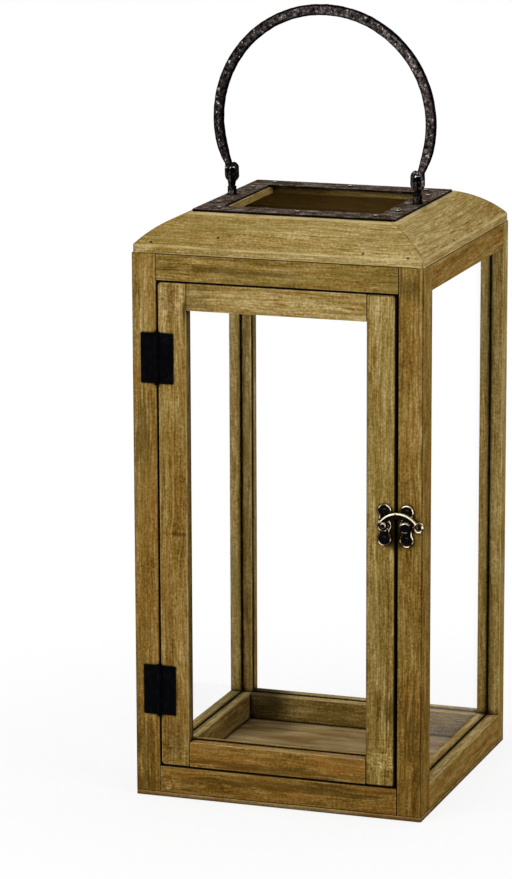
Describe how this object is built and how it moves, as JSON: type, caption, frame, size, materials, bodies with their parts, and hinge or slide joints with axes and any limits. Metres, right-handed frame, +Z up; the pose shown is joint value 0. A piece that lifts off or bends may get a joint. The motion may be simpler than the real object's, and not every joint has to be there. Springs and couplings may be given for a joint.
{
  "type": "hanging lantern",
  "caption": "Tall square wooden lantern with glass walls, a hinged and latched glass door, a mitred curved roof with an open iron-plated top, and a swinging iron bail to hang it by.",
  "frame": {"origin": "centre of the base board's underside", "axes": "+Z up, the door faces -Y with its hinges towards -X, the bail's arch lies in the XZ plane"},
  "size_m": [0.202, 0.2063, 0.5254],
  "materials": {
    "case_wood": "stained, open grain, edges worn paler",
    "door_wood": "stained, open grain, edges worn paler",
    "roof_wood": "stained a little lighter, fine grain along each moulding",
    "clear_glass": "clear polished",
    "plate_iron": "aged sheet iron, mottled",
    "forged_iron": "blackened, hammered, worn to grey on the high spots",
    "black_hinge": "satin black",
    "worn_brass": "pale brass, darkened in the recesses"
  },
  "bodies": {
    "case": {"base_board": "case_wood", "post_front_left": "case_wood", "post_front_right": "case_wood", "post_back_left": "case_wood", "post_back_right": "case_wood", "bottom_rail_left": "case_wood", "bottom_rail_right": "case_wood", "bottom_rail_front": "case_wood", "bottom_rail_back": "case_wood", "top_rail_left": "case_wood", "top_rail_right": "case_wood", "top_rail_front": "case_wood", "top_rail_back": "case_wood", "roof_front": "roof_wood", "roof_back": "roof_wood", "roof_left": "roof_wood", "roof_right": "roof_wood", "glass_left": "clear_glass", "glass_right": "clear_glass", "glass_back": "clear_glass", "top_plate": "plate_iron", "plate_nails": "plate_iron", "bail_eye_left": "forged_iron", "bail_eye_right": "forged_iron", "eye_nuts": "forged_iron", "hinge_lower_post_leaf": "black_hinge", "hinge_lower_pin": "black_hinge", "hinge_upper_post_leaf": "black_hinge", "hinge_upper_pin": "black_hinge", "hinge_post_screws": "black_hinge", "keeper_plate": "worn_brass", "keeper_screws": "worn_brass", "keeper_stud": "worn_brass"},
    "door": {"door_stile_hinge": "door_wood", "door_stile_latch": "door_wood", "door_rail_bottom": "door_wood", "door_rail_top": "door_wood", "door_glass": "clear_glass", "hinge_lower_door_leaf": "black_hinge", "hinge_upper_door_leaf": "black_hinge", "hinge_door_screws": "black_hinge", "latch_plate": "worn_brass", "latch_screws": "worn_brass", "latch_rivet": "worn_brass"},
    "hook": {"latch_hook": "worn_brass"},
    "bail": {"bail": "forged_iron"}
  },
  "joints": [
    {"name": "door_hinge", "type": "hinge", "parent": "case", "child": "door", "pos_m": [-0.08245, -0.1016, 0.1874], "axis": [0, 0, -1], "range_deg": [0, 175]},
    {"name": "hook_pivot", "type": "hinge", "parent": "door", "child": "hook", "pos_m": [0.0745, -0.1026, 0.2], "axis": [0, -1, 0], "range_deg": [0, 270]},
    {"name": "bail_swing", "type": "hinge", "parent": "case", "child": "bail", "pos_m": [0, 0, 0.4049], "axis": [1, 0, 0], "range_deg": [-95, 95]}
  ]
}
